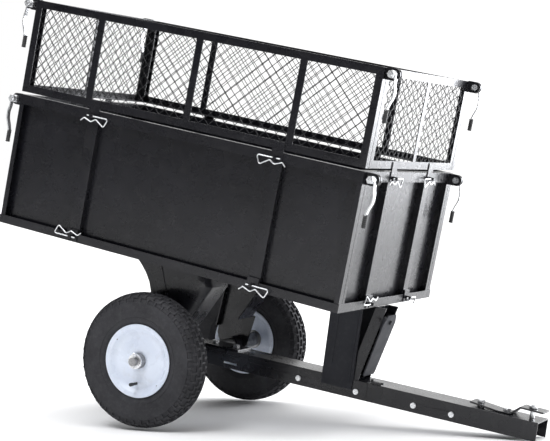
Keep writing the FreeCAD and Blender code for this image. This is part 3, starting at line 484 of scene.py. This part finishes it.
def make_tyre(name):
    """A hollow carcass with rows of staggered blocks on its crown and shoulders."""
    low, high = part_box(f"{name}_tyre")
    centre = (low + high) / 2
    half = (high.y - low.y) / 2
    radius = (high.z - low.z) / 2
    rim_low, rim_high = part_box(f"{name}_rim")
    spots = section_lines(half, radius, (rim_high.z - rim_low.z) / 2)
    other_half = [
        (Vector((-point.x, point.y)), Vector((-outward.x, outward.y)), share, row)
        for point, outward, share, row in spots[:0:-1]
    ]
    rings = []
    for pitch in range(TREAD_PITCHES):
        for turn in LUG_RELIEF:
            angle = 2 * math.pi * (pitch + turn) / TREAD_PITCHES
            ring = []
            for point, outward, share, row in other_half + spots:
                block = LUG_HEIGHT * (1 - SHOULDER_FADE * share)
                rise = block if is_block(row, turn) else 0.0
                width, reach = point + outward * rise
                ring.append(
                    centre + Vector((reach * math.cos(angle), width, reach * math.sin(angle)))
                )
            rings.append(ring)
    body = f"{name}_wheel"
    piece(
        f"{name}_tyre_tread", [skin(rings, True, False)], "tyre_rubber", body,
        [f"{name}_tyre"], 28,
    )
    wall = half - WALL_INSET
    ribs = []
    for sign in (-1, 1):
        for reach, share in WALL_RINGS:
            across = sign * wall * share
            ring = radius * reach
            bead = [
                (across - sign * 1.2 * MM, ring - 1.4 * MM),
                (across + sign * 0.5 * MM, ring - 0.6 * MM),
                (across + sign * 0.5 * MM, ring + 0.6 * MM),
                (across - sign * 1.2 * MM, ring + 1.4 * MM),
            ]
            ribs.append(lathe(bead, centre, columns=128))
    piece(f"{name}_sidewall_rings", ribs, "tyre_rubber", body)


RIM_WALL = 2.5 * MM
RIM_WELL_DEPTH = 12.5 * MM
DISC_FROM_CENTRE = 24 * MM
RIVET_TURNS = (140, -48)
RIVET_REACH = 0.87
# The hub's barrel, as a share of the whole hub's diameter.
HUB_BARREL = 36 / 48


def make_rim(name, side):
    """A pressed rim with rolled lips, a drop centre and a shallow dished disc."""
    low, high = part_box(f"{name}_rim")
    centre = (low + high) / 2
    edge = (high.y - low.y) / 2
    radius = (high.z - low.z) / 2
    hub_low, hub_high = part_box(f"{name}_hub")
    bore = HUB_BARREL * (hub_high.z - hub_low.z) / 2
    wall = RIM_WALL
    well = radius - RIM_WELL_DEPTH
    disc = DISC_FROM_CENTRE
    face = [
        (edge - 2.4 * MM, radius),
        (edge - 0.8 * MM, radius),
        (edge, radius - 1.0 * MM),
        (edge - 0.1 * MM, radius - 2.4 * MM),
        (edge - 1.6 * MM, radius - 4.2 * MM),
        (edge - 3.0 * MM, radius - 7.0 * MM),
        (edge - 3.8 * MM, radius - 10.5 * MM),
        (edge - 6.0 * MM, well),
        (disc - 0.5 * MM, well - 3 * MM),
        (disc - 4.0 * MM, well - 8 * MM),
        (disc - 5.0 * MM, well - 16 * MM),
        (disc - 4.2 * MM, well - 25 * MM),
        (disc - 1.5 * MM, well - 34 * MM),
        (disc - 0.2 * MM, well - 42 * MM),
        (disc + 0.6 * MM, well - 48 * MM),
        (disc + 0.4 * MM, bore + 3 * MM),
        (disc - 1.0 * MM, bore),
    ]
    back = [
        (disc - 3.5 * MM, bore),
        (disc - 3.0 * MM, well - 46 * MM),
        (disc - 7.5 * MM, well - 20 * MM),
        (disc - 9.0 * MM, well - 1 * MM),
        (-edge + 6 * MM, well),
        (-edge + 2 * MM, radius - 6 * MM),
        (-edge, radius - 1.5 * MM),
        (-edge + 0.8 * MM, radius),
        (-edge + 2.4 * MM, radius),
        (-edge + 3.4 * MM, well + wall),
        (edge - 6.4 * MM, well + wall),
        (edge - 3.4 * MM, radius - 6 * MM),
    ]
    profile = [(side * along, reach) for along, reach in face + back]
    piece(
        f"{name}_rim_pressing", [lathe(profile, centre, columns=128)], "white_rim",
        f"{name}_wheel", [f"{name}_rim"], 60,
    )
    rivets = []
    for degrees in RIVET_TURNS:
        turn = math.radians(degrees)
        spot = centre + Vector((math.cos(turn), 0, math.sin(turn))) * RIVET_REACH * radius
        head = [
            (side * (edge - 4.6 * MM), 0.1 * MM),
            (side * (edge - 4.0 * MM), 0.1 * MM),
            (side * (edge - 4.2 * MM), 1.4 * MM),
            (side * (edge - 5.2 * MM), 1.9 * MM),
        ]
        rivets.append(lathe(head, spot, columns=16))
    piece(f"{name}_rim_rivets", rivets, "grey_steel", f"{name}_wheel")


def make_bearing(name, side):
    """The bearing's shield at the outer end of the hub."""
    low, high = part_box(f"{name}_hub")
    centre = (low + high) / 2
    end = (high.y - low.y) / 2
    outer = HUB_BARREL * (high.z - low.z) / 2
    shield = [
        (end - 1.2 * MM, outer - 3.0 * MM),
        (end + 0.1 * MM, outer - 3.4 * MM),
        (end + 0.1 * MM, outer - 5.2 * MM),
        (end - 0.9 * MM, outer - 5.8 * MM),
    ]
    profile = [(side * along, reach) for along, reach in shield]
    piece(
        f"{name}_bearing_shield", [lathe(profile, centre, columns=64)], "grey_steel",
        f"{name}_wheel",
    )


for wheel_name, wheel_side in SIDES.items():
    make_tyre(wheel_name)
    make_rim(wheel_name, wheel_side)
    make_bearing(wheel_name, wheel_side)

# ------------------------------------------------------------------------ legs

# Back and front edge of the pressed web as (height, forward), in millimetres in BED.
LEG_BACK = (
    (-24.2, -14), (-20, -32.8), (-12, -45.4), (0, -55.4), (14, -61.1), (32, -62),
    (150, -56), (171, -65), (190.5, -78.5), (207, -94.5), (221, -111), (230.9, -125),
)
LEG_FRONT = (
    (-24.2, -11), (-20, 7.4), (-12, 20), (0, 30), (80, 40), (193, 96), (230.9, 80),
)
LEG_LEVELS = (
    -24.2, -20, -12, 0, 14, 32, 56, 79.5, 80, 104, 128, 150, 171, 190.5, 193, 207, 221, 230.9,
)
LEG_FACE = 200.0
LEG_WALL = 3.0
LEG_FLANGE = 98.0
LEG_FLANGE_FOOT = 80
LEG_CORNER = 27.0
LEG_BACK_FLANGE = 20
LEG_ROOF = ((-125, 228), (80, 228), (80, 230.9), (-125, 230.9))
LEG_BACK_STRIP = ((-56, 150), (-53, 150), (-59, 32), (-62, 32))
# The sleeve's section as (inward from the web's face, radius).
LEG_SLEEVE = ((35, 10.2), (35, 17.4), (34.4, 18), (2.5, 18), (2.5, 10.2))
RIDGE_LINE = ((-43, 224), (-38, 213), (-10, 151))
RIDGE_RADIUS = 1.9
WEB_STEPS = 6
CORNER_STEPS = 8
FLANGE_STEPS = 4


def reading(line, height):
    """How far forward a line of (height, forward) is at a height."""
    for (z0, x0), (z1, x1) in zip(line, line[1:]):
        if height <= z1:
            return x0 + (x1 - x0) * (height - z0) / (z1 - z0)
    return line[-1][1]


def leg_ring(height, face):
    """The pressed sheet's section at a height: web, rolled corner and front flange."""
    full = height >= LEG_FLANGE_FOOT
    corner = LEG_CORNER if full else LEG_WALL + 0.05
    flange = LEG_FLANGE if full else LEG_WALL + 0.1
    back, front = reading(LEG_BACK, height), reading(LEG_FRONT, height)
    corner = min(corner, (front - back) * 0.9)
    web = front - corner - back
    skins = []
    for inset in (0.0, LEG_WALL):
        bend = max(corner - inset, 0.03)
        spots = [(back + web * k / WEB_STEPS, inset) for k in range(WEB_STEPS)]
        for k in range(CORNER_STEPS + 1):
            turn = math.radians(90 * k / CORNER_STEPS)
            across = corner - bend * math.cos(turn)
            spots.append((front - corner + bend * math.sin(turn), across))
        for k in range(1, FLANGE_STEPS + 1):
            spots.append((front - inset, corner + (flange - corner) * k / FLANGE_STEPS))
        skins.append(spots)
    sign = 1 if face > 0 else -1
    points = [Vector((x, face - sign * y, height)) for x, y in skins[0] + skins[1][::-1]]
    return points if sign > 0 else points[::-1]


def slab(outline, y_from, y_to):
    """A flat plate with an outline of (forward, height) corners between two widths."""
    rings = [[Vector((x, y, z)) for x, z in outline] for y in (y_from, y_to)]
    return skin(rings)


def make_leg(name, side):
    """A pressed leg whose web rolls round into its front flange, with its axle sleeve."""
    face = side * LEG_FACE
    web_inside = face - side * LEG_WALL
    sleeve = [(-side * inward, reach) for inward, reach in LEG_SLEEVE]
    ridge = [Vector((x, face, z)) for x, z in RIDGE_LINE]
    parts = [
        skin([leg_ring(height, face) for height in LEG_LEVELS]),
        slab(LEG_ROOF, web_inside, face - side * LEG_FLANGE),
        slab(LEG_BACK_STRIP, web_inside, face - side * LEG_BACK_FLANGE),
        lathe(sleeve, Vector((0, face, 0)), columns=48),
        wire(curve_through(ridge, 6), RIDGE_RADIUS, 8),
    ]
    in_metres = [([vertex * MM for vertex in vertices], faces) for vertices, faces in parts]
    piece(
        f"{name}_leg_pressing", moved(in_metres, BED), "black_powder_coat", "bed",
        [f"{name}_leg"], 30,
    )


for leg_name, leg_side in SIDES.items():
    make_leg(leg_name, leg_side)

# --------------------------------------------------------------- mesh screens

STRAND = 0.85 * MM
SCREEN_PITCH = 27 * MM
WEAVE = 0.75 * MM


def make_screen(name, body, rng):
    """Crossing wires at 45 degrees, each passing over and under its neighbours."""
    low, high = extent(name, BED)
    along_x = high.x - low.x > high.y - low.y
    start, end = (low.x, high.x) if along_x else (low.y, high.y)
    middle = (low + high) / 2
    depth = middle.y if along_x else middle.x
    width, height = end - start, high.z - low.z
    step = SCREEN_PITCH / 4

    def spot(u, z, lift):
        place = (start + u, depth + lift, low.z + z)
        return BED @ Vector(place if along_x else (place[1], place[0], place[2]))

    wires = []
    for lean in (1, -1):
        count = int((width + height) / SCREEN_PITCH) + 1
        for number in range(count + 1):
            foot = number * SCREEN_PITCH - (height if lean > 0 else 0) + rng.uniform(-1, 1) * MM
            first = max(0.0, -foot) if lean > 0 else max(0.0, foot - width)
            last = min(height, width - foot) if lean > 0 else min(height, foot)
            if last - first < 4 * MM:
                continue
            points = []
            steps = max(2, int((last - first) / step))
            for tick in range(steps + 1):
                z = first + (last - first) * tick / steps
                u = foot + lean * z
                wave = math.sin(math.pi * 2 * z / SCREEN_PITCH + math.pi * number)
                points.append(spot(u, z, lean * WEAVE * wave))
            wires.append(wire(points, STRAND, 6))
    border = [(0, 0), (width, 0), (width, height), (0, height), (0, 0)]
    for (u0, z0), (u1, z1) in zip(border, border[1:]):
        wires.append(wire([spot(u0, z0, 0), spot(u1, z1, 0)], STRAND * 1.2, 6))
    piece(f"{name}_wires", wires, "black_powder_coat", body, [name], 70)


screen_rng = random.Random(7)
for screen_name, screen_body in (
    ("left_screen", "bed"),
    ("right_screen", "bed"),
    ("front_screen", "front_mesh"),
    ("tailgate_screen", "tailgate_mesh"),
):
    make_screen(screen_name, screen_body, screen_rng)

# --------------------------------------------------------------- latch levers


# The strap's middle line from its pivot down, as (outward, up) in millimetres.
STRAP_LINE = (
    (5.0, 4.0), (7.4, -6.0), (8.8, -20.0), (11.6, -34.0),
    (10.6, -50.0), (4.6, -66.0), (0.6, -80.0),
)
STRAP_HALF_WALL = 1.4 * MM
KNUCKLE_BORE = 6.0 * MM
KNUCKLE_RADIUS = 8.8 * MM
GRIP_TOP = -78 * MM
GRIP_RADIUS = 5.4 * MM
GRIP_RIBS = 7


def strap_skin(width):
    """The bowed strap, a little narrower where it meets the knuckle."""
    line = curve_through([Vector((x, 0, z)) * MM for x, z in STRAP_LINE], 5)
    rings = []
    for number, point in enumerate(line):
        before = line[max(number - 1, 0)]
        after = line[min(number + 1, len(line) - 1)]
        ahead = (after - before).normalized()
        normal = Vector((-ahead.z, 0, ahead.x))
        half = width / 2 * (0.92 if number else 0.8)
        section = ((-1, -1), (-0.9, -1), (0.9, -1), (1, -1), (1, 1), (-1, 1))
        rings.append(
            [
                point + normal * STRAP_HALF_WALL * out + Vector((0, half * across, 0))
                for across, out in section
            ]
        )
    return skin(rings)


def knuckle_skin(width):
    half = width / 2
    chamfer = 0.8 * MM
    profile = [
        (-half, KNUCKLE_BORE), (-half, KNUCKLE_RADIUS - 0.6 * MM),
        (-half + chamfer, KNUCKLE_RADIUS), (half - chamfer, KNUCKLE_RADIUS),
        (half, KNUCKLE_RADIUS - 0.6 * MM), (half, KNUCKLE_BORE),
    ]
    return lathe(profile, Vector((0, 0, 0)), columns=40)


def grip_skin(foot):
    """A round ribbed grip on the strap's end, down to its foot."""
    core = 0.2 * MM
    step = (foot - GRIP_TOP) / GRIP_RIBS
    profile = [(GRIP_TOP, core), (GRIP_TOP, GRIP_RADIUS * 0.8)]
    for rib in range(GRIP_RIBS):
        start = GRIP_TOP + step * (rib + 0.15)
        profile += [
            (start, GRIP_RADIUS * 0.86), (start + step * 0.18, GRIP_RADIUS),
            (start + step * 0.55, GRIP_RADIUS), (start + step * 0.75, GRIP_RADIUS * 0.86),
        ]
    profile += [(foot, GRIP_RADIUS * 0.7), (foot, core)]
    return lathe(profile, Vector((0.6 * MM, 0, 0)), "z", 24)


def make_latch(name):
    """A knuckle, a bowed zinc strap with a kink below it and a ribbed grip."""
    pivot = BED.inverted() @ Vector(JOINTS[f"{name}_swing"]["pos_m"])
    low, high = extent(name, BED)
    forward = 1 if name.startswith("front") else -1
    width = high.y - low.y
    centre = Vector((pivot.x, (low.y + high.y) / 2, pivot.z))

    def hung(*parts):
        """Parts turned outward at the pivot."""
        spots = []
        for vertices, faces in parts:
            turned = [centre + Vector((forward * x, y, z)) for x, y, z in vertices]
            spots.append((turned, faces))
        return moved(spots, BED)

    metal = hung(strap_skin(width), knuckle_skin(width))
    piece(f"{name}_strap", metal, "bright_zinc", name, [name], 40)
    grip = hung(grip_skin(low.z - pivot.z))
    piece(f"{name}_grip", grip, "black_rubber", name, (), 40)


for latch_joint in JOINTS:
    if latch_joint.endswith("_latch_swing"):
        make_latch(latch_joint.removesuffix("_swing"))

# -------------------------------------------------------- camera and studio

CAMERA_FROM_AXLE = Vector((1.9523, -3.4857, 0.4167))
VIEW_AZIMUTH = math.radians(26.543)
VIEW_ELEVATION = math.radians(1.33)
LENS = 103.9
SENSOR = 36
VIEW_REACH = 60.0
FLOOR_RINGS = (0.001, 2.0, 5.0, 10.0, 20.0, 45.0)
FLOOR_COLUMNS = 64
# The way in which the world is brightest, and how its strength runs along that way.
WORLD_BRIGHT_WAY = (0.25, 0.80, 0.45)
WORLD_RANGE = (0.0, 0.75)
WORLD_STRENGTH = (0.03, 1.3)
SUN_STRENGTH = 2.9
SUN_SPREAD = math.radians(75)
SOFTBOX_COLOUR = (0.93, 0.95, 1.0)


def make_camera():
    camera = bpy.data.objects.new("camera", bpy.data.cameras.new("camera"))
    bpy.context.scene.collection.objects.link(camera)
    camera.data.sensor_width = SENSOR
    camera.data.lens = LENS
    camera.location = AXLE + CAMERA_FROM_AXLE
    level = math.cos(VIEW_ELEVATION)
    across = Vector((math.sin(VIEW_AZIMUTH), -math.cos(VIEW_AZIMUTH), 0))
    back = across * level + Vector((0, 0, math.sin(VIEW_ELEVATION)))
    camera.rotation_mode = "QUATERNION"
    camera.rotation_quaternion = (-back).to_track_quat("-Z", "Y")
    camera.data.clip_end = VIEW_REACH
    bpy.context.scene.camera = camera


def make_stage():
    """A pale round floor. The last two faces of its skin are end caps, and are left out."""
    rings = []
    for reach in FLOOR_RINGS:
        turns = [2 * math.pi * step / FLOOR_COLUMNS for step in range(FLOOR_COLUMNS)]
        rings.append([Vector((reach * math.cos(t), reach * math.sin(t), 0)) for t in turns])
    vertices, faces = skin(rings)
    mesh = bpy.data.meshes.new("stage")
    mesh.from_pydata(vertices, [], faces[:-2])
    finish = Finish("stage_paper")
    tone = finish.ramp(finish.noise(3, 4), (0.3, (0.93, 0.93, 0.93)), (0.7, (0.95, 0.95, 0.95)))
    finish.wear(tone)
    finish.fixed(Roughness=0.9, Specular_IOR_Level=0.1)
    mesh.materials.append(finish.material)
    floor = bpy.data.objects.new("stage", mesh)
    bpy.context.scene.collection.objects.link(floor)


def softbox(name, place, aim, size, power):
    """A soft area light, cool, which the camera doesn't see."""
    light = bpy.data.lights.new(name, "AREA")
    light.color = SOFTBOX_COLOUR
    light.shape = "RECTANGLE"
    light.size, light.size_y = size
    light.energy = power
    lamp = bpy.data.objects.new(name, light)
    bpy.context.scene.collection.objects.link(lamp)
    lamp.location = place
    lamp.rotation_mode = "QUATERNION"
    lamp.rotation_quaternion = (Vector(aim) - Vector(place)).to_track_quat("-Z", "Y")
    lamp.visible_camera = False


def make_world():
    """White to look at; as a light it is bright behind the cart and dim in front of it."""
    world = bpy.data.worlds.new("studio")
    world.use_nodes = True
    tree = world.node_tree
    background = tree.nodes["Background"]
    place = tree.nodes.new("ShaderNodeTexCoord")
    facing = tree.nodes.new("ShaderNodeVectorMath")
    facing.operation = "DOT_PRODUCT"
    facing.inputs[1].default_value = WORLD_BRIGHT_WAY
    tree.links.new(place.outputs["Generated"], facing.inputs[0])
    rise = tree.nodes.new("ShaderNodeMapRange")
    rise.inputs["From Min"].default_value, rise.inputs["From Max"].default_value = WORLD_RANGE
    rise.inputs["To Min"].default_value, rise.inputs["To Max"].default_value = WORLD_STRENGTH
    tree.links.new(facing.outputs["Value"], rise.inputs["Value"])
    path = tree.nodes.new("ShaderNodeLightPath")
    seen = tree.nodes.new("ShaderNodeMath")
    seen.operation = "MAXIMUM"
    tree.links.new(path.outputs["Is Camera Ray"], seen.inputs[0])
    tree.links.new(rise.outputs["Result"], seen.inputs[1])
    tree.links.new(seen.outputs["Value"], background.inputs["Strength"])
    background.inputs["Color"].default_value = (1, 1, 1, 1)
    bpy.context.scene.world = world


def make_light():
    """A broad overhead sun, a softbox that glances off the front and one above the near side."""
    sun = bpy.data.lights.new("overhead", "SUN")
    sun.energy = SUN_STRENGTH
    sun.angle = SUN_SPREAD
    lamp = bpy.data.objects.new("overhead", sun)
    bpy.context.scene.collection.objects.link(lamp)
    softbox("right", (2.9, 4.4, 0.9), (0, 0, 0.5), (3.2, 3.2), 375)
    softbox("front", (-0.9, -3.2, 4.6), (0, 0, 0.2), (2.5, 2.0), 95)
    bpy.context.scene.view_settings.view_transform = "Standard"


make_camera()
make_stage()
make_world()
make_light()
